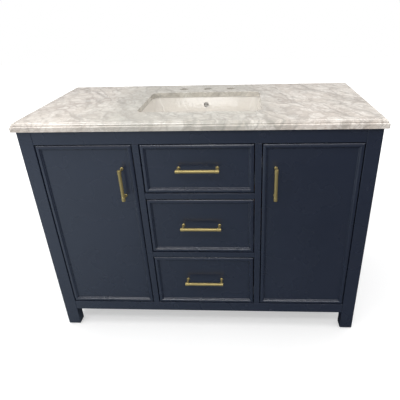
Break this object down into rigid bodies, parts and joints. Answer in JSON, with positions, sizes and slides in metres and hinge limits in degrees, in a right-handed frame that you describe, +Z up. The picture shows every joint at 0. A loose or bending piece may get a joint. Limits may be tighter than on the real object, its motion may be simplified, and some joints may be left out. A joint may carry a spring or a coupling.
{
  "type": "bathroom vanity cabinet",
  "caption": "Freestanding bathroom vanity with a marble top and undermount sink, hinged side doors and a centre bank of drawers with bar pulls.",
  "frame": {"origin": "centre of the whole object's box, on the floor", "axes": "+X to the right seen from the front, +Y to the wall behind, +Z up"},
  "size_m": [1.2446, 0.5766, 0.9144],
  "materials": {
    "navy_paint": "satin navy paint on wood",
    "carcass_board": "clear-coated plywood",
    "drawer_wood": "clear-coated hardwood",
    "marble": "polished, grey-veined",
    "ceramic": "gloss glaze",
    "brass": "satin brushed",
    "steel": "zinc plated"
  },
  "bodies": {
    "cabinet": {"back_panel": "carcass_board", "back_rail": "carcass_board", "bottom_drawer_left_slide_outer": "steel", "bottom_drawer_right_slide_outer": "steel", "bottom_panel": "navy_paint", "bottom_rail": "navy_paint", "left_front_post": "navy_paint", "left_lower_hinge_arm": "steel", "left_mullion": "navy_paint", "left_partition": "carcass_board", "left_rear_post": "navy_paint", "left_shelf": "carcass_board", "left_side_panel": "navy_paint", "left_upper_hinge_arm": "steel", "lower_drawer_rail": "navy_paint", "marble_top": "marble", "middle_drawer_left_slide_outer": "steel", "middle_drawer_right_slide_outer": "steel", "right_front_post": "navy_paint", "right_lower_hinge_arm": "steel", "right_mullion": "navy_paint", "right_partition": "carcass_board", "right_rear_post": "navy_paint", "right_shelf": "carcass_board", "right_side_panel": "navy_paint", "right_upper_hinge_arm": "steel", "sink_bowl": "ceramic", "top_drawer_left_slide_outer": "steel", "top_drawer_right_slide_outer": "steel", "top_rail": "navy_paint", "upper_drawer_rail": "navy_paint"},
    "left_door": {"left_door_frame": "navy_paint", "left_door_panel": "navy_paint", "left_door_pull": "brass", "left_lower_hinge_cup": "steel", "left_upper_hinge_cup": "steel"},
    "right_door": {"right_door_frame": "navy_paint", "right_door_panel": "navy_paint", "right_door_pull": "brass", "right_lower_hinge_cup": "steel", "right_upper_hinge_cup": "steel"},
    "top_drawer": {"top_drawer_box": "drawer_wood", "top_drawer_front_frame": "navy_paint", "top_drawer_front_panel": "navy_paint", "top_drawer_left_slide_inner": "steel", "top_drawer_pull": "brass", "top_drawer_right_slide_inner": "steel"},
    "middle_drawer": {"middle_drawer_box": "drawer_wood", "middle_drawer_front_frame": "navy_paint", "middle_drawer_front_panel": "navy_paint", "middle_drawer_left_slide_inner": "steel", "middle_drawer_pull": "brass", "middle_drawer_right_slide_inner": "steel"},
    "bottom_drawer": {"bottom_drawer_box": "drawer_wood", "bottom_drawer_front_frame": "navy_paint", "bottom_drawer_front_panel": "navy_paint", "bottom_drawer_left_slide_inner": "steel", "bottom_drawer_pull": "brass", "bottom_drawer_right_slide_inner": "steel"}
  },
  "joints": [
    {"name": "left_door_hinge", "type": "hinge", "parent": "cabinet", "child": "left_door", "pos_m": [-0.5581, -0.2578, 0.1314], "axis": [0, 0, -1], "range_deg": [0, 105]},
    {"name": "right_door_hinge", "type": "hinge", "parent": "cabinet", "child": "right_door", "pos_m": [0.5581, -0.2578, 0.1314], "axis": [0, 0, 1], "range_deg": [0, 105]},
    {"name": "top_drawer_slide", "type": "slide", "parent": "cabinet", "child": "top_drawer", "axis": [0, -1, 0], "range_m": [0, 0.3]},
    {"name": "middle_drawer_slide", "type": "slide", "parent": "cabinet", "child": "middle_drawer", "axis": [0, -1, 0], "range_m": [0, 0.3]},
    {"name": "bottom_drawer_slide", "type": "slide", "parent": "cabinet", "child": "bottom_drawer", "axis": [0, -1, 0], "range_m": [0, 0.3]}
  ]
}
